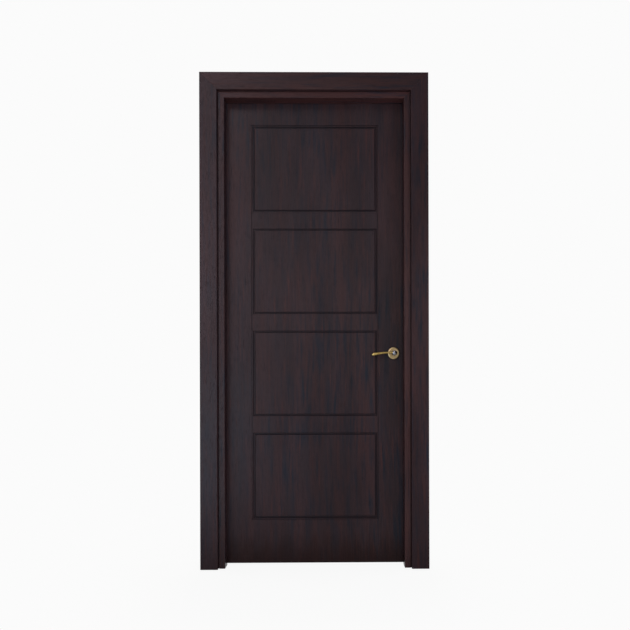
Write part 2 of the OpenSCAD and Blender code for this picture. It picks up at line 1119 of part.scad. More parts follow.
// Course of a lever from its neck, at u = 0, to its tip, at u = 1
function lever_end(u) =
    u <= lever_round ? 1 : sqrt(1 - 0.9 * pow((u - lever_round) / (1 - lever_round), 2));
function lever_z(u) = handle_z + lever_rise - lever_drop * pow(u, 2.2);
function lever_half_h(u) =
    (lever_neck_h + (lever_tip_h - lever_neck_h) * pow(u, 2)) / 2 * lever_end(u);
function lever_half_t(u) = lever_t / 2 * (1 - 0.15 * u) * lever_end(u);
function lever_u(i) = pow(i / lever_steps, 0.8);

module lever_blade() {
    points = [
        for (i = [0:lever_steps], k = [0:lever_sides - 1])
            let (
                u = lever_u(i),
                b = 360 * k / lever_sides
            )
            [
                handle_x - lever_reach * u,
                lever_y + lever_half_t(u) * sin(b),
                lever_z(u) + lever_half_h(u) * cos(b)
            ]
    ];
    walls = [
        for (i = [0:lever_steps - 1], k = [0:lever_sides - 1])
            let (
                p = i * lever_sides + k,
                q = i * lever_sides + (k + 1) % lever_sides
            )
            each [[p, p + lever_sides, q], [q, p + lever_sides, q + lever_sides]]
    ];
    ends = [
        [for (k = [0:lever_sides - 1]) k],
        [for (k = [lever_sides - 1:-1:0]) lever_steps * lever_sides + k]
    ];
    polyhedron(points = points, faces = concat(walls, ends));
}

module lever() {
    difference() {
        union() {
            rod_y(handle_x, hub_y, leaf_front_y - move_gap, handle_z, neck_r);
            lever_blade();
        }
        rod_y(handle_x, hub_y - 1, hub_y + cap_seat, handle_z, cap_stem_r);
        spindle_bar(spindle_fit, leaf_t / 2 + spindle_l + 1);
        rod_z(handle_x, grub_y, handle_z - neck_r - 1, handle_z, grub_r);
    }
}

module lever_cap() {
    translate([handle_x, hub_y + cap_seat, handle_z])
        rotate([90, 0, 0])
            rotate_extrude()
                polygon(concat(
                    [[0, 0], [cap_stem_r, 0], [cap_stem_r, cap_seat]],
                    arc(
                        0, cap_seat + cap_rise - cap_dome_r, cap_dome_r,
                        asin((cap_dome_r - cap_rise) / cap_dome_r), 90, 6
                    )
                ));
}

module lever_front() {
    color(gold)
        lever();
}

module lever_back() {
    color(gold)
        on_leaf_back()
            lever();
}

module lever_cap_front() {
    color(silver)
        lever_cap();
}

module lever_cap_back() {
    color(silver)
        on_leaf_back()
            lever_cap();
}

module grub_screw() {
    difference() {
        rod_z(handle_x, grub_y, handle_z - neck_r + 0.5, handle_z - spindle_w / 2, grub_r);
        translate([handle_x, grub_y, handle_z - neck_r])
            cylinder(h = 3, r = 1.4, $fn = 6);
    }
}

module lever_grub_screws() {
    color(steel) {
        grub_screw();
        on_leaf_back()
            grub_screw();
    }
}

hinge_jamb();
lock_jamb();
head_jamb();
front_casing_hinge_side();
front_casing_lock_side();
front_casing_head();
back_casing_hinge_side();
back_casing_lock_side();
back_casing_head();
seal_hinge_side();
seal_lock_side();
seal_head();
strike_plate();
strike_screws();
hinge_frame_plate_bottom();
hinge_frame_plate_middle();
hinge_frame_plate_top();
hinge_pin_bottom();
hinge_pin_middle();
hinge_pin_top();
hinge_frame_screws();
leaf_front_skin();
leaf_back_skin();
leaf_hinge_stile();
leaf_lock_stile();
leaf_top_rail();
leaf_bottom_rail();
leaf_core();
hinge_door_plate_bottom();
hinge_door_plate_middle();
hinge_door_plate_top();
hinge_door_screws();
latch_case();
latch_case_lid();
latch_forend();
forend_screws();
latch_spring();
rose_base_front();
rose_base_back();
rose_cover_front();
rose_cover_back();
rose_bolts();
lever_front();
lever_back();
lever_cap_front();
lever_cap_back();
spindle();
latch_follower();
lever_grub_screws();
latch_bolt();
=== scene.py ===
# %% [markdown]
# # A dark panelled front door in its frame
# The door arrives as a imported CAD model: a leaf with four routed panels, the
# three jambs it shuts against, architraves on both sides of the wall, hinges,
# a latch and a lever on each side. In this lesson Blender gives that model its
# wood, metal and rubber. Nothing that came from the CAD is moved, so the sizes
# stay right, and the few pieces that are rebuilt take their place from it.

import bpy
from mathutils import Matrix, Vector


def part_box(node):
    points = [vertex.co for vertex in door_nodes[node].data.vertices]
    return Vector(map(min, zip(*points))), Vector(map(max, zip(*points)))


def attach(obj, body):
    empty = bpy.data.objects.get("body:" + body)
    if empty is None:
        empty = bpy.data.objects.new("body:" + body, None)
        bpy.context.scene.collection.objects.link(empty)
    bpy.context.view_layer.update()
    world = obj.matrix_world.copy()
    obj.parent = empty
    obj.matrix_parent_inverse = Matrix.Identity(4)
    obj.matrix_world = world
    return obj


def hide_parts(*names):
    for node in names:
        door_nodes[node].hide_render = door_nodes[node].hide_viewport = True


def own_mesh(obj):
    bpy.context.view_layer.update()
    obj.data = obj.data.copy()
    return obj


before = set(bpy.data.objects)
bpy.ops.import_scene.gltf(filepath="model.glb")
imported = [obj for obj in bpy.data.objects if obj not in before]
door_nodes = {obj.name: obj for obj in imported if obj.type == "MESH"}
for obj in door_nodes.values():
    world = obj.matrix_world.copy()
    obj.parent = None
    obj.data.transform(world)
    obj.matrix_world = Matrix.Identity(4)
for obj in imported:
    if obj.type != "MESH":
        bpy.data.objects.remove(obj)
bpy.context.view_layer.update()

# %% [markdown]
# ## Where the viewer stands
# The door was looked at almost squarely, from a little right of its middle and
# from less than a metre above the floor. A camera can be aimed by eye, but here
# the place, turn and focal length were solved from the corners of the frame, so
# they are written as numbers. The lens looks level, so uprights stay upright,
# and a small shift moves the door into the middle of a square picture.

# %% Set the camera
import math

import bpy
from mathutils import Matrix, Vector

PICTURE_PX = 630
SENSOR_MM = 36.0
camera_place = Vector((0.0759, -2.6825, 0.8408))
camera_yaw, camera_roll = -0.00979, -0.00242
focal_px, across_px, down_px = 600.04, 23.04, 59.94

ahead = Vector((-math.sin(camera_yaw), math.cos(camera_yaw), 0))
level_right = Vector((math.cos(camera_yaw), math.sin(camera_yaw), 0))
upright = Vector((0, 0, 1))
right = level_right * math.cos(camera_roll) + upright * math.sin(camera_roll)
up = upright * math.cos(camera_roll) - level_right * math.sin(camera_roll)

lens = bpy.data.cameras.new("door_camera")
lens.sensor_width = SENSOR_MM
lens.lens = SENSOR_MM * focal_px / PICTURE_PX
lens.shift_x = -across_px / PICTURE_PX
lens.shift_y = down_px / PICTURE_PX
camera = bpy.data.objects.new("door_camera", lens)
camera_turn = Matrix((right, up, -ahead)).transposed().to_4x4()
camera.matrix_world = Matrix.Translation(camera_place) @ camera_turn
scene = bpy.context.scene
scene.collection.objects.link(camera)
scene.camera = camera
scene.view_settings.view_transform = "Standard"
print("lens:", round(lens.lens, 2), "mm, shift:", round(lens.shift_x, 4), round(lens.shift_y, 4))

# %% [markdown]
# ## Light
# The door is lit softly and squarely from the front, so the frame throws hardly
# any shadow on the leaf, and a fill from the right keeps the reveal of the left
# jamb from going black. The left side has a pale sheen, as satin lacquer shows
# beside a window. A studio makes such a sheen with bright cards: a card that
# only reflections can see adds sheen where it is mirrored in the wood, and
# leaves the shadows as they are. Two tall cards do the left side, a strong one
# and a weak one nearer the middle, and a low bluish one does the foot. Further
# lamps light the back and the sides of the door, and the world gives even light
# from all round. A dark flag at the right is the unlit side of the room: it
# dims the sheen there and gives the polished cap on the handle something dark
# to mirror, without which metal looks flat. The picture's white ground is shown
# to the camera and to reflections by a Light Path switch, so that it doesn't
# have to be bright enough to burn out the door.

# %% Helpers that build a node tree
def place_node(tree, kind, at, **settings):
    """Adds a node at a grid place, with the settings given."""
    made = tree.nodes.new(kind)
    made.location = (at[0] * 200, at[1] * -180)
    for setting, value in settings.items():
        setattr(made, setting, value)
    return made


def calculate(tree, operation, first, second, at):
    """A Math node. Each input is a number or another node's output."""
    made = place_node(tree, "ShaderNodeMath", at, operation=operation)
    for socket, given in zip(made.inputs, (first, second)):
        if isinstance(given, (int, float)):
            socket.default_value = given
        else:
            tree.links.new(given, socket)
    return made.outputs[0]


def seen_or_mirrored(tree):
    """A mask: 1 for what the camera, a mirror or glass shows, 0 for plain light."""
    ray = place_node(tree, "ShaderNodeLightPath", (0, 0))
    mirrored = calculate(
        tree, "MAXIMUM", ray.outputs["Is Glossy Ray"], ray.outputs["Is Transmission Ray"], (1, 0))
    return calculate(tree, "MAXIMUM", ray.outputs["Is Camera Ray"], mirrored, (2, 0))


# %% Set the world
WHITE_GROUND = 0.965
AMBIENT = 0.28

world = bpy.data.worlds.new("studio")
scene.world = world
world.use_nodes = True
sky = world.node_tree
sky.nodes.clear()
plain_light = place_node(sky, "ShaderNodeBackground", (2, 1))
plain_light.inputs["Color"].default_value = (0.94, 0.97, 1.0, 1)
plain_light.inputs["Strength"].default_value = AMBIENT
white_ground = place_node(sky, "ShaderNodeBackground", (2, 2))
white_ground.inputs["Color"].default_value = (1, 1, 1, 1)
white_ground.inputs["Strength"].default_value = WHITE_GROUND
either = place_node(sky, "ShaderNodeMixShader", (3, 0))
sky.links.new(seen_or_mirrored(sky), either.inputs[0])
sky.links.new(plain_light.outputs[0], either.inputs[1])
sky.links.new(white_ground.outputs[0], either.inputs[2])
sky_out = place_node(sky, "ShaderNodeOutputWorld", (4, 0))
sky.links.new(either.outputs[0], sky_out.inputs["Surface"])
print("ambient:", AMBIENT, "white ground:", WHITE_GROUND)

# %% Set up the lamps and the cards
NEUTRAL = (1.0, 0.99, 0.98)


def soft_lamp(name, at, towards, wide, high, watts, colour, sheen=False):
    """A rectangular area lamp that faces a point: a lamp, or a card that only gives sheen."""
    lamp = bpy.data.lights.new(name, "AREA")
    lamp.shape, lamp.size, lamp.size_y = "RECTANGLE", wide, high
    lamp.energy, lamp.color = watts, colour
    holder = bpy.data.objects.new(name, lamp)
    holder.location = at
    holder.rotation_euler = (Vector(towards) - Vector(at)).to_track_quat("-Z", "Y").to_euler()
    holder.visible_camera = False
    holder.visible_glossy, holder.visible_diffuse = sheen, not sheen
    scene.collection.objects.link(holder)


soft_lamp("front_light", (0.25, -2.1, 1.40), (0.0, 0.0, 1.2), 1.4, 1.2, 23, (0.92, 1.0, 1.0))
soft_lamp("fill_light", (1.8, -1.7, 1.30), (-0.3, 0.0, 1.1), 1.2, 1.6, 13, (0.90, 1.0, 1.0))
soft_lamp("back_light", (0.0, 2.6, 1.6), (0.0, 0.0, 1.1), 1.6, 1.6, 65, NEUTRAL)
for name, side in (("left_light", -1), ("right_light", 1)):
    soft_lamp(name, (3.0 * side, 0.5, 1.4), (0.0, 0.2, 1.1), 1.2, 1.6, 55, NEUTRAL)
soft_lamp(
    "left_card", (-1.25, -2.5, 2.8), (-0.45, 0.0, 2.8), 0.9, 3.6, 54, (1.0, 0.82, 0.98), sheen=True)
soft_lamp(
    "middle_card", (-0.75, -2.6, 2.2), (-0.35, 0.0, 2.2), 0.5, 3.6, 10, (0.8, 1.0, 0.9), sheen=True)
soft_lamp(
    "low_card", (-0.78, -1.1, 0.40), (-0.45, 0.0, 0.3), 0.6, 0.9, 8.0, (0.50, 0.80, 1.0), sheen=True)


# %% Hang the dark flag
def start_finish(name):
    """A new material with nodes. Returns it with its tree and its Principled shader."""
    material = bpy.data.materials.new(name)
    material.use_nodes = True
    return material, material.node_tree, material.node_tree.nodes["Principled BSDF"]


flag_mesh = bpy.data.meshes.new("dark_flag")
flag_mesh.from_pydata(
    [(1.1, -2.6, 0.0), (1.9, 0.2, 0.0), (1.5, 0.2, 3.2), (0.7, -2.6, 3.2)], [], [(0, 1, 2, 3)])
flag = bpy.data.objects.new("dark_flag", flag_mesh)
flag_cloth, _, cloth = start_finish("flag_cloth")
cloth.inputs["Base Color"].default_value = (0.01, 0.01, 0.01, 1)
cloth.inputs["Specular IOR Level"].default_value = 0.0
flag_mesh.materials.append(flag_cloth)
flag.visible_camera = flag.visible_diffuse = flag.visible_shadow = False
scene.collection.objects.link(flag)
print("flag:", [round(v, 2) for v in flag.dimensions])

# %% [markdown]
# ## Floor
# The door stands on a pale floor that runs into the white ground. To the camera
# the floor is mostly its own white and partly a real lit surface, and that
# second part is what carries the soft shadow under the architraves. It fades
# out a metre from the door, so no line shows where the floor ends. To light
# that bounces off it the floor is an ordinary pale surface.

# %% Lay the floor
FLOOR_HALF = 9.0
FLOOR_DROP = 0.0006
SQUARE = ((-1, -1), (1, -1), (1, 1), (-1, 1))

floor_mesh = bpy.data.meshes.new("floor")
floor_mesh.from_pydata(
    [(x * FLOOR_HALF, y * FLOOR_HALF, -FLOOR_DROP) for x, y in SQUARE], [], [(0, 1, 2, 3)])
floor = bpy.data.objects.new("floor", floor_mesh)
scene.collection.objects.link(floor)
print("floor:", 2 * FLOOR_HALF, "m square")

# %% Paint the floor
FADE_FROM, FADE_TO, WHITE_BY_THE_DOOR = 0.5, 1.1, 0.95


def remap(tree, value, low, high, to_low, to_high, at, ease="LINEAR"):
    """Carries the span low..high over to to_low..to_high, clamped at its ends."""
    made = place_node(tree, "ShaderNodeMapRange", at, interpolation_type=ease)
    for socket, number in zip(made.inputs[1:5], (low, high, to_low, to_high)):
        socket.default_value = number
    tree.links.new(value, made.inputs["Value"])
    return made.outputs["Result"]


floor_paint, tree, _ = start_finish("pale_floor")
tree.nodes.clear()
where = place_node(tree, "ShaderNodeTexCoord", (0, 2))
distance = place_node(tree, "ShaderNodeVectorMath", (1, 2), operation="LENGTH")
tree.links.new(where.outputs["Object"], distance.inputs[0])
fade = remap(
    tree, distance.outputs["Value"], FADE_FROM, FADE_TO, WHITE_BY_THE_DOOR, 1.0, (2, 3), "SMOOTHSTEP")
white_share = calculate(tree, "MULTIPLY", seen_or_mirrored(tree), fade, (3, 0))
lit_floor = place_node(tree, "ShaderNodeBsdfDiffuse", (2, 1))
lit_floor.inputs["Color"].default_value = (0.85, 0.84, 0.83, 1)
own_white = place_node(tree, "ShaderNodeEmission", (2, 2))
own_white.inputs["Strength"].default_value = WHITE_GROUND
floor_mix = place_node(tree, "ShaderNodeMixShader", (4, 0))
tree.links.new(white_share, floor_mix.inputs[0])
tree.links.new(lit_floor.outputs[0], floor_mix.inputs[1])
tree.links.new(own_white.outputs[0], floor_mix.inputs[2])
floor_out = place_node(tree, "ShaderNodeOutputMaterial", (5, 0))
tree.links.new(floor_mix.outputs[0], floor_out.inputs["Surface"])
floor_mesh.materials.append(floor_paint)
print("floor fades to white from", FADE_FROM, "to", FADE_TO, "m")

# %% [markdown]
# ## Grain of the veneer
# The wood is a dark stained veneer: long reddish and blue-black streaks, finer
# fibres between them, and short pores that catch the stain. Every board of the
# door shows it, so it is one node group. Noise that is stretched along one axis
# gives streaks, and a slow wander pushed into the coordinates first keeps them
# from running dead straight. The same noises drive colour, gloss and relief, so
# that a pore is dark, dull and sunk all at once.

# %% Helpers for a node group
def start_group(name, takes, gives):
    """An empty shader node group with named sockets. Returns it with its two end nodes."""
    group = bpy.data.node_groups.new(name, "ShaderNodeTree")
    for label, kind, value in takes:
        socket = group.interface.new_socket(name=label, in_out="INPUT", socket_type=kind)
        if value is not None:
            socket.default_value = value
    for label, kind in gives:
        group.interface.new_socket(name=label, in_out="OUTPUT", socket_type=kind)
    take = place_node(group, "NodeGroupInput", (0, 0))
    give = place_node(group, "NodeGroupOutput", (12, 0))
    return group, take, give


def stretched_noise(tree, vector, stretch, at, detail=2.0, roughness=0.5, shift=(0, 0, 0)):
    """Noise with its own scale on each axis, in cells per metre."""
    mapping = place_node(tree, "ShaderNodeMapping", at)
    mapping.inputs["Location"].default_value = shift
    mapping.inputs["Scale"].default_value = stretch
    tree.links.new(vector, mapping.inputs["Vector"])
    noise = place_node(tree, "ShaderNodeTexNoise", (at[0] + 1, at[1]))
    noise.inputs["Scale"].default_value = 1.0
    noise.inputs["Detail"].default_value = detail
    noise.inputs["Roughness"].default_value = roughness
    tree.links.new(mapping.outputs[0], noise.inputs["Vector"])
    return noise


def mix_colour(tree, factor, first, second, at, blend="MIX"):
    """Mixes two colours. Each input is a plain value or another node's output."""
    made = place_node(tree, "ShaderNodeMix", at, data_type="RGBA", blend_type=blend)
    sockets = (made.inputs[0], made.inputs[6], made.inputs[7])
    for socket, given in zip(sockets, (factor, first, second)):
        if isinstance(given, bpy.types.NodeSocket):
            tree.links.new(given, socket)
        else:
            socket.default_value = given
    return made.outputs[2]


# %% Build the grain
grain, take, give = start_group(
    "veneer_grain",
    [("Place", "NodeSocketVector", None), ("Ground", "NodeSocketColor", None),
     ("Red Streak", "NodeSocketColor", None), ("Black Streak", "NodeSocketColor", None),
     ("Figure", "NodeSocketFloat", 1.0)],
    [("Color", "NodeSocketColor"), ("Roughness", "NodeSocketFloat"), ("Height", "NodeSocketFloat")])

SWAY = 0.022
slow = stretched_noise(grain, take.outputs["Place"], (3.0, 3.0, 1.1), (1, 3))
sway = place_node(grain, "ShaderNodeVectorMath", (3, 3), operation="MULTIPLY_ADD")
sway.inputs[1].default_value = (SWAY, SWAY, 0.0)
grain.links.new(slow.outputs["Color"], sway.inputs[0])
grain.links.new(take.outputs["Place"], sway.inputs[2])
course = sway.outputs[0]
fibres = stretched_noise(grain, course, (620.0, 620.0, 9.0), (4, 3), 2.0, 0.6)
pores = stretched_noise(grain, course, (1150.0, 1150.0, 34.0), (4, 4), 0.0)
pore_mask = remap(grain, pores.outputs["Fac"], 0.64, 0.74, 0.0, 1.0, (6, 4))
print("fibres and pores sway by up to", SWAY, "m")

# %% Colour the grain
broad = stretched_noise(grain, course, (17.0, 17.0, 1.0), (4, 0), detail=2.0)
red_lines = stretched_noise(grain, course, (105.0, 105.0, 5.5), (4, 1), 2.5, 0.55, (3.1, 0.7, 1.9))
red_broad = remap(grain, broad.outputs["Fac"], 0.40, 0.66, 0.0, 0.55, (6, 0))
red_fine = remap(grain, red_lines.outputs["Fac"], 0.50, 0.72, 0.0, 0.9, (6, 1))
red_both = calculate(grain, "MAXIMUM", red_broad, red_fine, (7, 0))
red_share = calculate(grain, "MULTIPLY", red_both, take.outputs["Figure"], (8, 0))

black_lines = stretched_noise(grain, course, (90.0, 90.0, 6.5), (4, 2), 3.0, 0.55, (8.4, 2.2, 5.3))
black_fine = remap(grain, black_lines.outputs["Fac"], 0.48, 0.70, 0.0, 0.95, (6, 2))
patches = stretched_noise(grain, take.outputs["Place"], (2.4, 2.4, 0.9), (4, 5), shift=(5.1, 3.7, 0.4))
black_here = remap(grain, patches.outputs["Fac"], 0.38, 0.62, 0.35, 1.3, (6, 5))
black_patchy = calculate(grain, "MULTIPLY", black_fine, black_here, (7, 2))
black_share = calculate(grain, "MULTIPLY", black_patchy, take.outputs["Figure"], (8, 2))

tones = stretched_noise(
    grain, take.outputs["Place"], (9.0, 9.0, 1.6), (4, 6), 2.0, shift=(1.7, 6.2, 3.3))
tone_light = remap(grain, tones.outputs["Fac"], 0.34, 0.66, 0.84, 1.16, (6, 6))
fibre_light = remap(grain, fibres.outputs["Fac"], 0.3, 0.7, 0.86, 1.14, (6, 3))
pore_light = remap(grain, pore_mask, 0.0, 1.0, 1.0, 0.6, (7, 4))
thread_light = calculate(grain, "MULTIPLY", fibre_light, pore_light, (8, 3))
line_light = calculate(grain, "MULTIPLY", thread_light, tone_light, (9, 3))

reddened = mix_colour(grain, red_share, take.outputs["Ground"], take.outputs["Red Streak"], (9, 0))
blackened = mix_colour(grain, black_share, reddened, take.outputs["Black Streak"], (10, 0))
veneer_colour = mix_colour(grain, 1.0, blackened, line_light, (11, 0), "MULTIPLY")
grain.links.new(veneer_colour, give.inputs["Color"])
print("streaks: red and black on the ground colour")

# %% Give the grain its gloss and relief
fibre_gloss = remap(grain, fibres.outputs["Fac"], 0.3, 0.7, 0.27, 0.35, (8, 5))
pore_gloss = remap(grain, pore_mask, 0.0, 1.0, 0.0, 0.18, (8, 6))
patch_gloss = remap(grain, slow.outputs["Fac"], 0.35, 0.65, -0.03, 0.05, (8, 7))
line_gloss = calculate(grain, "ADD", fibre_gloss, pore_gloss, (9, 5))
gloss = calculate(grain, "ADD", line_gloss, patch_gloss, (10, 5))
grain.links.new(gloss, give.inputs["Roughness"])
fibre_height = calculate(grain, "MULTIPLY", fibres.outputs["Fac"], 0.35, (9, 6))
relief = calculate(grain, "SUBTRACT", fibre_height, pore_mask, (10, 6))
grain.links.new(relief, give.inputs["Height"])
print("group:", grain.name, len(grain.nodes), "nodes")

# %% [markdown]
# ## Painted shade in the corners and painted highlights on the edges
# Grooves, crevices and corners get painted shade in their colour, and the
# arrises get a painted highlight, broken up in patches like wear. An Ambient
# Occlusion node that looks only at its own object finds the first, and
# comparing the surface's normal with the rounded normal of a Bevel node finds
# the second. Both are masks that don't depend on the viewer, so they travel
# with the piece.

# %% Build the painted shade mask
corners, take, give = start_group(
    "corner_shade", [("Reach", "NodeSocketFloat", 0.006), ("Amount", "NodeSocketFloat", 0.6)],
    [("Shade", "NodeSocketFloat")])
# Occlusion by the object itself marks where shade falls; this mask paints that shade into the colour.
shut_in = place_node(corners, "ShaderNodeAmbientOcclusion", (1, 0), only_local=True, samples=8)
corners.links.new(take.outputs["Reach"], shut_in.inputs["Distance"])
closed = remap(corners, shut_in.outputs["AO"], 0.62, 0.97, 1.0, 0.0, (2, 0))
shade = calculate(corners, "MULTIPLY", closed, take.outputs["Amount"], (3, 0))
corners.links.new(shade, give.inputs["Shade"])
print("group:", corners.name, len(corners.nodes), "nodes")

# %% Build the painted highlight mask
edge_highlights, take, give = start_group(
    "painted_edge_highlight", [("Place", "NodeSocketVector", None), ("Radius", "NodeSocketFloat", 0.002),
                     ("Amount", "NodeSocketFloat", 0.5)],
    [("Highlight", "NodeSocketFloat")])
# The Bevel normal finds the arrises, and this mask paints a highlight on them, broken up in patches.
rounded = place_node(edge_highlights, "ShaderNodeBevel", (1, 0), samples=6)
edge_highlights.links.new(take.outputs["Radius"], rounded.inputs["Radius"])
surface = place_node(edge_highlights, "ShaderNodeNewGeometry", (1, 1))
alike = place_node(edge_highlights, "ShaderNodeVectorMath", (2, 0), operation="DOT_PRODUCT")
edge_highlights.links.new(rounded.outputs[0], alike.inputs[0])
edge_highlights.links.new(surface.outputs["Normal"], alike.inputs[1])
near_edge = remap(edge_highlights, alike.outputs["Value"], 0.80, 0.99, 1.0, 0.0, (3, 0))
patchy = stretched_noise(edge_highlights, take.outputs["Place"], (14.0, 14.0, 14.0), (1, 3), 3.0, 0.6)
patch_strength = remap(edge_highlights, patchy.outputs["Fac"], 0.30, 0.70, 0.2, 1.0, (3, 3))
patchy_edge = calculate(edge_highlights, "MULTIPLY", near_edge, patch_strength, (4, 0))
edge_light = calculate(edge_highlights, "MULTIPLY", patchy_edge, take.outputs["Amount"], (5, 0))
edge_highlights.links.new(edge_light, give.inputs["Highlight"])
print("group:", edge_highlights.name, len(edge_highlights.nodes), "nodes")

# %% [markdown]
# ## Darker at the foot
# The leaf is made darker towards the floor. Height above the floor is all that
# this needs: a mask that is full at the floor and has gone a hand's breadth
# above it, with a little noise so that its edge isn't ruled.

# %% Build the mask that darkens the foot
foot_mask_group, take, give = start_group(
    "darker_foot", [("Place", "NodeSocketVector", None), ("Height", "NodeSocketFloat", 0.17),
                  ("Amount", "NodeSocketFloat", 0.6)],
    [("Darkening", "NodeSocketFloat")])
# The colour is made darker towards the floor.
height = place_node(foot_mask_group, "ShaderNodeSeparateXYZ", (1, 0))
foot_mask_group.links.new(take.outputs["Place"], height.inputs[0])
edge_wobble = stretched_noise(foot_mask_group, take.outputs["Place"], (30.0, 30.0, 12.0), (1, 2), 3.0, 0.6)
uneven = remap(foot_mask_group, edge_wobble.outputs["Fac"], 0.3, 0.7, -0.02, 0.02, (3, 2))
up_from_floor = calculate(foot_mask_group, "ADD", height.outputs["Z"], uneven, (4, 0))
share_up = calculate(foot_mask_group, "DIVIDE", up_from_floor, take.outputs["Height"], (5, 0))
fading = remap(foot_mask_group, share_up, 0.0, 1.0, 1.0, 0.0, (6, 0), "SMOOTHSTEP")
darker_share = calculate(foot_mask_group, "MULTIPLY", fading, take.outputs["Amount"], (7, 0))
foot_mask_group.links.new(darker_share, give.inputs["Darkening"])
print("group:", foot_mask_group.name, len(foot_mask_group.nodes), "nodes")

# %% [markdown]
# ## Boards
# One recipe covers every board. What changes is the way the grain runs, which
# part of the log the board was cut from, how dark its stain came out, how much
# painted shade lies in its corners and how much darker its foot is made. The
# grain runs up the leaf, the side jambs and the side architraves, and across
# the head pieces, so it turns the corner at each mitre as real mouldings do.
# The lacquer is satin: its specular level is set low because the room in which
# a dark door hangs is not all white.

# %% Mix the stained veneer
GROUND = (0.0235, 0.0141, 0.0174, 1)
RED_STREAK = (0.0420, 0.0160, 0.0160, 1)
BLACK_STREAK = (0.0108, 0.0116, 0.0185, 1)
LOCK_ARCHITRAVE_GROUND = (0.0262, 0.0142, 0.0176, 1)
# The head architrave's lighter, redder ground is partly its own tone and partly painted sheen.
HEAD_ARCHITRAVE_GROUND = (0.0350, 0.0168, 0.0182, 1)
HINGE_JAMB_GROUND = (0.0300, 0.0155, 0.0175, 1)
LOCK_JAMB_GROUND = (0.0460, 0.0205, 0.0215, 1)
HEAD_JAMB_GROUND = (0.0465, 0.0182, 0.0190, 1)
# A painted highlight colour for the arrises.
HIGHLIGHT_WOOD = (0.058, 0.032, 0.030, 1)
# Painted shade for grooves and corners, bluish black.
GROOVE_SHADE = (0.0018, 0.0018, 0.0040, 1)
# A darker colour for the foot of the leaf.
DARK_FOOT_COLOUR = (0.0092, 0.0014, 0.0008, 1)
SATIN_SPECULAR, FIGURE_SHARE = 0.08, 0.85
# The reach of the painted shade, the radius and amount of the painted edge highlight, and the height
# of the darker foot.
SHADE_REACH, HIGHLIGHT_RADIUS, HIGHLIGHT_AMOUNT, DARK_FOOT_HEIGHT = 0.011, 0.0020, 0.45, 0.17
GRAIN_RELIEF, GRAIN_DEPTH = 0.35, 0.0003
ALONG_GRAIN = {"up": (0, 0, 0), "across": (0, math.radians(90), 0)}


def add_group(tree, group, at, **values):
    """Places a node group and sets its plain inputs. An underscore stands for a space."""
    made = place_node(tree, "ShaderNodeGroup", at, node_tree=group)
    for label, value in values.items():
        made.inputs[label.replace("_", " ")].default_value = value
    return made


def add_relief(tree, height, strength, depth, shader):
    """Feeds a height through a Bump node into a shader's normal."""
    bump = place_node(tree, "ShaderNodeBump", (-3, 2))
    bump.inputs["Strength"].default_value = strength
    bump.inputs["Distance"].default_value = depth
    tree.links.new(height, bump.inputs["Height"])
    tree.links.new(bump.outputs[0], shader.inputs["Normal"])


def stained_veneer(name, runs, cut_from, ground, shade_amount, dark_foot):
    """A board of stained veneer whose grain runs up or across."""
    material, tree, lacquer = start_finish(name)
    lacquer.inputs["Specular IOR Level"].default_value = SATIN_SPECULAR
    where = place_node(tree, "ShaderNodeTexCoord", (-8, 0))
    along = place_node(tree, "ShaderNodeMapping", (-7, 0))
    along.inputs["Rotation"].default_value = ALONG_GRAIN[runs]
    along.inputs["Location"].default_value = cut_from
    tree.links.new(where.outputs["Object"], along.inputs["Vector"])
    wood = add_group(tree, grain, (-6, 0), Ground=ground, Red_Streak=RED_STREAK,
                     Black_Streak=BLACK_STREAK, Figure=FIGURE_SHARE)
    tree.links.new(along.outputs[0], wood.inputs["Place"])
    corner = add_group(tree, corners, (-6, 2), Reach=SHADE_REACH, Amount=shade_amount)
    edge = add_group(tree, edge_highlights, (-6, 3), Radius=HIGHLIGHT_RADIUS, Amount=HIGHLIGHT_AMOUNT)
    foot = add_group(tree, foot_mask_group, (-6, 4), Height=DARK_FOOT_HEIGHT, Amount=dark_foot)
    for mask in (edge, foot):
        tree.links.new(where.outputs["Object"], mask.inputs["Place"])
    # Painted shade darkens grooves and corners here.
    shaded_wood = mix_colour(tree, corner.outputs["Shade"], wood.outputs["Color"], GROOVE_SHADE, (-4, 0))
    # A painted highlight lightens the arrises here.
    highlighted_wood = mix_colour(tree, edge.outputs["Highlight"], shaded_wood, HIGHLIGHT_WOOD, (-3, 0))
    # The foot is made darker here.
    finished = mix_colour(tree, foot.outputs["Darkening"], highlighted_wood, DARK_FOOT_COLOUR, (-2, 0))
    tree.links.new(finished, lacquer.inputs["Base Color"])
    tree.links.new(wood.outputs["Roughness"], lacquer.inputs["Roughness"])
    add_relief(tree, wood.outputs["Height"], GRAIN_RELIEF, GRAIN_DEPTH, lacquer)
    return material


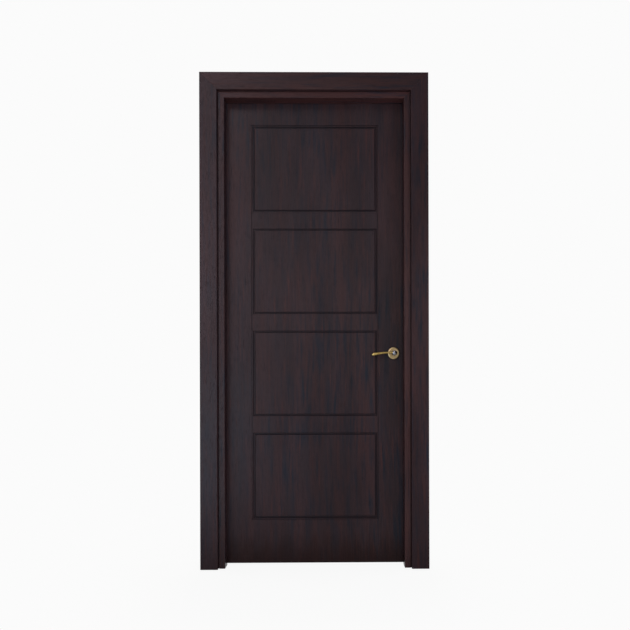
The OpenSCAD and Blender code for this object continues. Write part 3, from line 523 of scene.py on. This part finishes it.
# %% Cut the boards and dress them
BOARDS = {
    "leaf_veneer": (
        "up", (2.96, 0.88, 4.72), GROUND, 1.0, 0.75, ["leaf_front_skin", "leaf_back_skin"]),
    "leaf_edging": (
        "up", (0.4, 0.3, 0.6), GROUND, 0.8, 0.5, ["leaf_hinge_stile", "leaf_lock_stile", "leaf_core"]),
    "leaf_end_edging": (
        "across", (0.2, 0.7, 0.1), GROUND, 0.8, 0.5, ["leaf_top_rail", "leaf_bottom_rail"]),
    "hinge_jamb_veneer": ("up", (3.92, 0.86, 3.94), HINGE_JAMB_GROUND, 0.4, 0.3, ["hinge_jamb"]),
    "lock_jamb_veneer": ("up", (6.67, 1.71, 7.39), LOCK_JAMB_GROUND, 0.4, 0.3, ["lock_jamb"]),
    "head_jamb_veneer": ("across", (3.79, 1.87, 4.43), HEAD_JAMB_GROUND, 0.4, 0.0, ["head_jamb"]),
    "hinge_architrave_veneer": (
        "up", (7.69, 2.12, 7.28), GROUND, 0.6, 0.3,
        ["front_casing_hinge_side", "back_casing_hinge_side"]),
    "lock_architrave_veneer": (
        "up", (5.61, 0.43, 2.47), LOCK_ARCHITRAVE_GROUND, 0.6, 0.3,
        ["front_casing_lock_side", "back_casing_lock_side"]),
    "head_architrave_veneer": (
        "across", (7.49, 4.17, 10.53), HEAD_ARCHITRAVE_GROUND, 0.6, 0.0,
        ["front_casing_head", "back_casing_head"]),
}


def dress(material, names):
    """Gives CAD nodes a material in place of the one they came with."""
    for name in names:
        slots = door_nodes[name].data.materials
        slots.clear()
        slots.append(material)


for board, (runs, cut_from, ground, shade_amount, dark_foot, names) in BOARDS.items():
    dress(stained_veneer(board, runs, cut_from, ground, shade_amount, dark_foot), names)
    print(board, "grain", runs, "on", names)

# %% [markdown]
# ## Metals and rubber
# The roses are satin champagne gold and the levers a yellower brass, handled
# every day: fine lines from brushing, and broad smudges that change the gloss.
# Hinges, latch and strike are plain bright zinc, the cap on the lever's hub is
# polished nickel, and the seals are matt rubber. The brushing and smudges are
# shared by the four metals, so they are a group, and each metal sets its own
# colours. The rubber has only a faint bloom and pimples, so it is mixed alone.

# %% Build the handled metal group
handled, take, give = start_group(
    "handled_metal",
    [("Place", "NodeSocketVector", None), ("Clean", "NodeSocketColor", None),
     ("Dull", "NodeSocketColor", None), ("Gloss", "NodeSocketFloat", 0.25),
     ("Smudge", "NodeSocketFloat", 0.1)],
    [("Color", "NodeSocketColor"), ("Roughness", "NodeSocketFloat"), ("Height", "NodeSocketFloat")])
smudges = stretched_noise(handled, take.outputs["Place"], (90.0, 90.0, 90.0), (1, 0), 1.5, 0.5)
brushing = stretched_noise(handled, take.outputs["Place"], (260.0, 2600.0, 2600.0), (1, 1), 2.0, 0.6)
smudge_mask = remap(handled, smudges.outputs["Fac"], 0.36, 0.66, 0.0, 1.0, (3, 0))
smudged = mix_colour(handled, smudge_mask, take.outputs["Clean"], take.outputs["Dull"], (5, 0))
handled.links.new(smudged, give.inputs["Color"])
smudge_gloss = calculate(handled, "MULTIPLY", smudge_mask, take.outputs["Smudge"], (4, 1))
brush_gloss = remap(handled, brushing.outputs["Fac"], 0.3, 0.7, -0.04, 0.04, (3, 2))
base_gloss = calculate(handled, "ADD", take.outputs["Gloss"], smudge_gloss, (5, 1))
handled.links.new(calculate(handled, "ADD", base_gloss, brush_gloss, (6, 1)), give.inputs["Roughness"])
handled.links.new(brushing.outputs["Fac"], give.inputs["Height"])
print("group:", handled.name, len(handled.nodes), "nodes")

# %% Mix the metals
# Painted shade for the hollows of the metal: its colour, reach and amount.
HOLLOW_SHADE = (0.03, 0.022, 0.014, 1)
HOLLOW_SHADE_REACH, HOLLOW_SHADE_AMOUNT = 0.003, 0.5
# A painted highlight on the metal's edges: its radius, amount and gain over the clean colour.
SHINE_RADIUS, SHINE_AMOUNT, SHINE_GAIN = 0.0006, 0.5, 1.35
BRUSH_DEPTH = 0.00005


def handled_finish(name, clean, dull, gloss, smudge, relief):
    """A metal that has been brushed and handled."""
    material, tree, metal = start_finish(name)
    metal.inputs["Metallic"].default_value = 1.0
    where = place_node(tree, "ShaderNodeTexCoord", (-8, 0))
    finish = add_group(tree, handled, (-6, 0), Clean=clean, Dull=dull, Gloss=gloss, Smudge=smudge)
    tree.links.new(where.outputs["Object"], finish.inputs["Place"])
    corner = add_group(tree, corners, (-6, 2), Reach=HOLLOW_SHADE_REACH, Amount=HOLLOW_SHADE_AMOUNT)
    edge = add_group(tree, edge_highlights, (-6, 3), Radius=SHINE_RADIUS, Amount=SHINE_AMOUNT)
    tree.links.new(where.outputs["Object"], edge.inputs["Place"])
    # Painted shade darkens the hollows here.
    hollow_shaded = mix_colour(tree, corner.outputs["Shade"], finish.outputs["Color"], HOLLOW_SHADE, (-4, 0))
    # A painted highlight lightens the edges here.
    bright = tuple(min(1.0, SHINE_GAIN * part) for part in clean[:3]) + (1,)
    finished = mix_colour(tree, edge.outputs["Highlight"], hollow_shaded, bright, (-3, 0))
    tree.links.new(finished, metal.inputs["Base Color"])
    tree.links.new(finish.outputs["Roughness"], metal.inputs["Roughness"])
    add_relief(tree, finish.outputs["Height"], relief, BRUSH_DEPTH, metal)
    return material


champagne_gold = handled_finish(
    "champagne_gold", (0.40, 0.295, 0.155, 1), (0.32, 0.235, 0.12, 1), 0.30, 0.08, 0.15)
brass_gold = handled_finish(
    "brass_gold", (0.37, 0.265, 0.092, 1), (0.28, 0.195, 0.062, 1), 0.30, 0.10, 0.15)
polished_nickel = handled_finish(
    "polished_nickel", (0.18, 0.178, 0.19, 1), (0.145, 0.143, 0.155, 1), 0.26, 0.06, 0.03)
bright_zinc = handled_finish(
    "bright_zinc", (0.44, 0.44, 0.43, 1), (0.34, 0.34, 0.335, 1), 0.38, 0.14, 0.2)
print("metals:", [metal.name for metal in (champagne_gold, brass_gold, polished_nickel, bright_zinc)])

# %% Dress the hardware
ZINC_STARTS = ("hinge_frame_", "hinge_door_", "hinge_pin_", "strike_", "latch_", "forend_")
HARDWARE = {
    champagne_gold: ["rose_cover_front", "rose_cover_back"],
    brass_gold: ["lever_front", "lever_back"],
    polished_nickel: ["lever_cap_front", "lever_cap_back"],
    bright_zinc: [name for name in door_nodes if name.startswith(ZINC_STARTS)]
    + ["rose_base_front", "rose_base_back", "rose_bolts", "spindle", "lever_grub_screws"],
}
for metal, names in HARDWARE.items():
    dress(metal, names)
    print(metal.name, "on", len(names), "nodes")

# %% Mix the rubber of the seals
CLEAN_RUBBER, BLOOMED_RUBBER = (0.008, 0.008, 0.008, 1), (0.022, 0.021, 0.020, 1)
RUBBER_SPECULAR, PIMPLE_RELIEF, PIMPLE_DEPTH = 0.3, 0.3, 0.0001

seal_rubber, tree, skin = start_finish("seal_rubber")
skin.inputs["Specular IOR Level"].default_value = RUBBER_SPECULAR
where = place_node(tree, "ShaderNodeTexCoord", (-7, 0))
bloom = stretched_noise(tree, where.outputs["Object"], (40.0, 40.0, 8.0), (-6, 0), 3.0, 0.6)
pimples = stretched_noise(tree, where.outputs["Object"], (1800.0, 1800.0, 1800.0), (-6, 2), 1.0)
bloomed = remap(tree, bloom.outputs["Fac"], 0.35, 0.7, 0.0, 1.0, (-4, 0))
rubber_colour = mix_colour(tree, bloomed, CLEAN_RUBBER, BLOOMED_RUBBER, (-3, 0))
tree.links.new(rubber_colour, skin.inputs["Base Color"])
rubber_gloss = remap(tree, bloom.outputs["Fac"], 0.3, 0.7, 0.55, 0.75, (-3, 1))
tree.links.new(rubber_gloss, skin.inputs["Roughness"])
add_relief(tree, pimples.outputs["Fac"], PIMPLE_RELIEF, PIMPLE_DEPTH, skin)
dress(seal_rubber, ["seal_hinge_side", "seal_lock_side", "seal_head"])
print("seals:", seal_rubber.name)

# %% [markdown]
# ## Eased arrises
# A CAD edge is perfectly sharp and never catches light. On the real door each
# arris is eased by sandpaper and lacquer, and each plate is tumbled. A Bevel
# modifier does that without touching the CAD mesh. The imported mesh has split
# corners, so a Weld goes first. Its flat faces are cut into long thin triangles
# that a bevel pulls open, so a planar Decimate makes whole faces of them again,
# and a Weighted Normal keeps those faces flat. The architraves are eased least,
# because a joiner leaves their mitres tight.

# %% Ease the edges of the CAD pieces
every_board = [name for board in BOARDS.values() for name in board[-1]]
HINGE_STARTS = ("hinge_frame_plate", "hinge_door_plate", "hinge_pin")
EASING = {
    0.0006: [name for name in every_board if "skin" in name or "jamb" in name],
    0.00025: [name for name in every_board if "casing" in name],
    0.0004: ["rose_cover_front", "rose_cover_back", "strike_plate", "latch_forend"],
    0.0003: [name for name in door_nodes if name.startswith(HINGE_STARTS)]
    + ["latch_bolt", "lever_cap_front", "lever_cap_back"],
}
CORNER_JOIN = 0.00001


def ease_edges(name, width):
    """Rounds the sharp edges of a CAD node with modifiers."""
    piece = door_nodes[name]
    weld = piece.modifiers.new("join_corners", "WELD")
    weld.merge_threshold = CORNER_JOIN
    whole = piece.modifiers.new("whole_faces", "DECIMATE")
    whole.decimate_type, whole.angle_limit = "DISSOLVE", math.radians(1)
    ease = piece.modifiers.new("eased_arris", "BEVEL")
    ease.width, ease.segments = width, 2
    ease.limit_method, ease.angle_limit = "ANGLE", math.radians(28)
    ease.harden_normals = True
    flat = piece.modifiers.new("flat_faces", "WEIGHTED_NORMAL")
    flat.keep_sharp = True


for width, names in EASING.items():
    for name in names:
        ease_edges(name, width)
    print("eased by", width * 1000, "mm:", len(names), "nodes")

# %% [markdown]
# ## Levers
# A lever is one casting: a round hub on the handle's axis, and a blade that
# leaves it thin, bows over and falls towards a thick rounded tip. A blade and a
# hub that merely cross each other leave a hard line where they meet. So both
# are made as closed shells, a Remesh modifier melts them into one skin, and a
# Smooth modifier rounds the joint as the foundry's fillet does. The far lever
# is the same shape mirrored in the middle of the leaf.

# %% Cast one lever
import bmesh

cap_low, cap_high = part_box("lever_cap_front")
lever_low, lever_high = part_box("lever_front")
axis_x = (cap_low.x + cap_high.x) / 2
axis_z = (cap_low.z + cap_high.z) / 2
leaf_middle_y = (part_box("leaf_front_skin")[0].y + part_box("leaf_back_skin")[1].y) / 2
HUB_R = (cap_high.x - cap_low.x) / 2
LEVER_REACH = axis_x - lever_low.x
BLADE_INSET = 0.0065
BLADE_Y = lever_low.y + BLADE_INSET
NECK_H, TIP_H, BLADE_T = 0.0080, 0.0140, 0.0120
LEVER_RISE, LEVER_DROP, ROUND_FROM = 0.0020, 0.0100, 0.90
BLADE_STEPS = 48
MELT_VOXEL, FILLET_ROUNDS = 0.0006, 10


def closed_tube(shell, rings):
    """Skins a list of rings of points and closes both ends."""
    loops = [[shell.verts.new(point) for point in ring] for ring in rings]
    count = len(loops[0])
    for near, far in zip(loops, loops[1:]):
        for k in range(count):
            shell.faces.new((near[k], near[(k + 1) % count], far[(k + 1) % count], far[k]))
    shell.faces.new(loops[0][::-1])
    shell.faces.new(loops[-1])


def blade_ring(u, sides=40):
    """One oval section of the blade, u of the way from the hub to the tip."""
    closing = 1.0
    if u > ROUND_FROM:
        closing = math.sqrt(max(0.004, 1 - ((u - ROUND_FROM) / (1 - ROUND_FROM)) ** 2))
    half_h = (NECK_H + (TIP_H - NECK_H) * u ** 2) / 2 * closing
    half_t = BLADE_T / 2 * (1 - 0.15 * u) * closing
    x, middle = axis_x - LEVER_REACH * u, axis_z + LEVER_RISE - LEVER_DROP * u ** 2.2
    turns = (2 * math.pi * k / sides for k in range(sides))
    return [(x, BLADE_Y + half_t * math.sin(t), middle + half_h * math.cos(t)) for t in turns]


def hub_ring(y, radius, sides=64):
    """One round section of the hub."""
    turns = (2 * math.pi * k / sides for k in range(sides))
    return [(axis_x + radius * math.cos(t), y, axis_z + radius * math.sin(t)) for t in turns]


def shell_mesh(name, shell):
    """Makes a mesh of a finished shell, with its faces turned outwards."""
    bmesh.ops.recalc_face_normals(shell, faces=shell.faces[:])
    mesh = bpy.data.meshes.new(name)
    shell.to_mesh(mesh)
    shell.free()
    return mesh


def with_modifiers(piece):
    """A new mesh of a piece as its modifiers shape it."""
    return bpy.data.meshes.new_from_object(
        piece.evaluated_get(bpy.context.evaluated_depsgraph_get()))


shell = bmesh.new()
closed_tube(shell, [blade_ring(1 - (1 - k / BLADE_STEPS) ** 1.6) for k in range(BLADE_STEPS + 1)])
neck_line = [(0.0, 1.0), (0.25, 1.0), (0.45, 0.90), (0.70, 0.90), (0.85, 1.0), (1.0, 1.0)]
hub_l = lever_high.y - lever_low.y
closed_tube(shell, [
    hub_ring(lever_low.y + share * hub_l, HUB_R * width) for share, width in neck_line])
rough = bpy.data.objects.new("lever_rough", shell_mesh("lever_rough", shell))
scene.collection.objects.link(rough)
melt = rough.modifiers.new("melt", "REMESH")
melt.mode, melt.voxel_size = "VOXEL", MELT_VOXEL
fillet = rough.modifiers.new("fillet", "SMOOTH")
fillet.factor, fillet.iterations = 0.5, FILLET_ROUNDS
casting = with_modifiers(rough)
bpy.data.objects.remove(rough)
print("lever casting:", len(casting.polygons), "faces")


# %% Fit both levers
def add_piece(name, mesh, material, body, slot, *stands_for):
    """Puts a mesh into the scene as a piece of the door that moves with a body."""
    mesh.materials.clear()
    mesh.materials.append(material)
    for face in mesh.polygons:
        face.use_smooth = True
    piece = bpy.data.objects.new(name, mesh)
    scene.collection.objects.link(piece)
    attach(piece, body)
    if stands_for:
        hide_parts(*stands_for)
    return piece


far_casting = casting.copy()
far_casting.transform(
    Matrix.Translation((0, 2 * leaf_middle_y, 0)) @ Matrix.Scale(-1, 4, (0, 1, 0)))
far_casting.flip_normals()
add_piece("cast_lever_front", casting, brass_gold, "handle", "gold", "lever_front")
add_piece("cast_lever_back", far_casting, brass_gold, "handle", "gold", "lever_back")
print("levers on:", [round(v, 4) for v in (axis_x, axis_z)])

# %% [markdown]
# ## Screws
# The CAD screws are plain cones. A real countersunk screw has a cross recess
# and a thread, and both show when the leaf stands open. One screw is turned as
# a profile and its recess cut with a Boolean, and then it is copied to every
# place where the CAD has one. The places are read from the CAD nodes: each
# separate solid in them is a screw, and its wide end is its head.

# %% Turn one screw
HEAD_R, SHANK_R, SCREW_L = 0.0042, 0.0022, 0.0140
THREAD_FROM, THREAD_PITCH, THREAD_COUNT = 0.0030, 0.0011, 8
THREAD_SHAPE = ((0.0, 0.74), (0.0004, 1.0), (0.0005, 1.0), (0.0009, 0.74))
ARM_L, ARM_W = 0.0023, 0.0006
RECESS_DEPTHS = ((-0.001, 1.0), (0.0018, 0.55))


def turned(profile, sides=32):
    """A closed shell of revolution about X from (x, radius) pairs."""
    turns = [2 * math.pi * k / sides for k in range(sides)]
    shell = bmesh.new()
    closed_tube(shell, [[(x, r * math.cos(t), r * math.sin(t)) for t in turns] for x, r in profile])
    return shell


head_line = [(0.00002, HEAD_R - 0.0003), (0.0003, HEAD_R - 0.00003), (0.0021, SHANK_R)]
thread_line = [
    (THREAD_FROM + THREAD_PITCH * k + step, SHANK_R * width)
    for k in range(THREAD_COUNT) for step, width in THREAD_SHAPE]
point_line = [(0.0128, SHANK_R * 0.5), (SCREW_L - 0.0002, SHANK_R * 0.1)]
blank_mesh = shell_mesh("screw_blank", turned(head_line + thread_line + point_line))

recess = bmesh.new()
for arm_y, arm_z in ((ARM_L, ARM_W), (ARM_W, ARM_L)):
    closed_tube(recess, [
        [(x, y * arm_y * shrink, z * arm_z * shrink) for y, z in SQUARE]
        for x, shrink in RECESS_DEPTHS])
recess_mesh = shell_mesh("screw_recess", recess)
print("blank:", len(blank_mesh.polygons), "faces, recess:", len(recess_mesh.polygons), "faces")

# %% Cut the recess
blank = bpy.data.objects.new("screw_blank", blank_mesh)
cutter = bpy.data.objects.new("screw_recess", recess_mesh)
for made in (blank, cutter):
    scene.collection.objects.link(made)
cut = blank.modifiers.new("cross_recess", "BOOLEAN")
cut.operation, cut.object, cut.solver, cut.use_self = "DIFFERENCE", cutter, "EXACT", True
one_screw = with_modifiers(blank)
for made in (blank, cutter):
    bpy.data.objects.remove(made)
print("screw:", len(one_screw.vertices), "points")


# %% Find the places of the screws
def separate_solids(name):
    """The points of each separate solid in a CAD node."""
    solid = bmesh.new()
    solid.from_mesh(door_nodes[name].data)
    bmesh.ops.remove_doubles(solid, verts=solid.verts[:], dist=CORNER_JOIN)
    left = set(solid.verts)
    groups = []
    while left:
        reached, edge_of_search = set(), [next(v for v in solid.verts if v in left)]
        while edge_of_search:
            vert = edge_of_search.pop()
            if vert in left:
                left.discard(vert)
                reached.add(vert)
                edge_of_search.extend(e.other_vert(vert) for e in vert.link_edges)
        groups.append([v.co.copy() for v in reached])
    solid.free()
    return groups


def screw_places(name):
    """For each screw of a node: where its head is, and which way along X it points."""
    places = []
    for points in separate_solids(name):
        low = Vector(min(p[i] for p in points) for i in range(3))
        high = Vector(max(p[i] for p in points) for i in range(3))
        y, z = (low.y + high.y) / 2, (low.z + high.z) / 2
        wide = [p.x for p in points if math.hypot(p.y - y, p.z - z) > 0.9 * HEAD_R]
        head_low = abs(min(wide) - low.x) < abs(max(wide) - high.x)
        places.append((Vector((low.x if head_low else high.x, y, z)), 1 if head_low else -1))
    return sorted(places, key=lambda place: tuple(place[0]))


SCREW_NODES = {
    "hinge_frame_screws": "frame", "strike_screws": "frame",
    "hinge_door_screws": "leaf", "forend_screws": "leaf",
}
places_of = {name: screw_places(name) for name in SCREW_NODES}
print("screws:", {name: len(places) for name, places in places_of.items()})

# %% Copy the screw to every place
FIRST_TURN, NEXT_TURN = 0.35, 1.1


def screw_set(name, body):
    """All the screws of one CAD node, as one piece, each turned a little differently."""
    gathered = bmesh.new()
    for count, (head, way) in enumerate(places_of[name]):
        turn = Matrix.Rotation(FIRST_TURN + NEXT_TURN * count, 4, "X")
        face = Matrix.Identity(4) if way > 0 else Matrix.Rotation(math.pi, 4, "Z")
        copy = one_screw.copy()
        copy.transform(Matrix.Translation(head) @ face @ turn)
        gathered.from_mesh(copy)
        bpy.data.meshes.remove(copy)
    mesh = bpy.data.meshes.new(name + "_turned")
    gathered.to_mesh(mesh)
    gathered.free()
    piece = add_piece(name + "_turned", mesh, bright_zinc, body, "steel", name)
    for face in mesh.polygons:
        face.use_smooth = False
    print(piece.name, len(mesh.polygons), "faces")


for name, body in SCREW_NODES.items():
    screw_set(name, body)

# %% [markdown]
# ## Latch spring
# The spring behind the latch bolt shortens when the handle draws the bolt in.
# A stiff coil would be run through by the bolt. Here the spring is wound again
# as a coil of round wire that moves with the leaf, in place of the CAD spring.

# %% Wind the spring
spring_low, spring_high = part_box("latch_spring")
WIRE_R, SPRING_TURNS, STEPS_PER_TURN = 0.00045, 6, 36
coil_r = (spring_high.z - spring_low.z) / 2 - WIRE_R
coil_y, coil_z = (spring_low.y + spring_high.y) / 2, (spring_low.z + spring_high.z) / 2
free_length = spring_high.x - spring_low.x


def wire_ring(share, sides=12):
    """One round section of the wire, a share of the way along the coil."""
    turn = 2 * math.pi * SPRING_TURNS * share
    middle_x = spring_low.x + WIRE_R + (free_length - 2 * WIRE_R) * share
    ring = []
    for k in range(sides):
        t = 2 * math.pi * k / sides
        x, out = middle_x + WIRE_R * math.sin(t), coil_r + WIRE_R * math.cos(t)
        ring.append((x, coil_y + out * math.cos(turn), coil_z + out * math.sin(turn)))
    return ring


steps = SPRING_TURNS * STEPS_PER_TURN
wire = bmesh.new()
closed_tube(wire, [wire_ring(step / steps) for step in range(steps + 1)])
coil_mesh = shell_mesh("latch_spring_coil", wire)
coil = add_piece("latch_spring_coil", coil_mesh, bright_zinc, "leaf", "steel", "latch_spring")
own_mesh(coil)
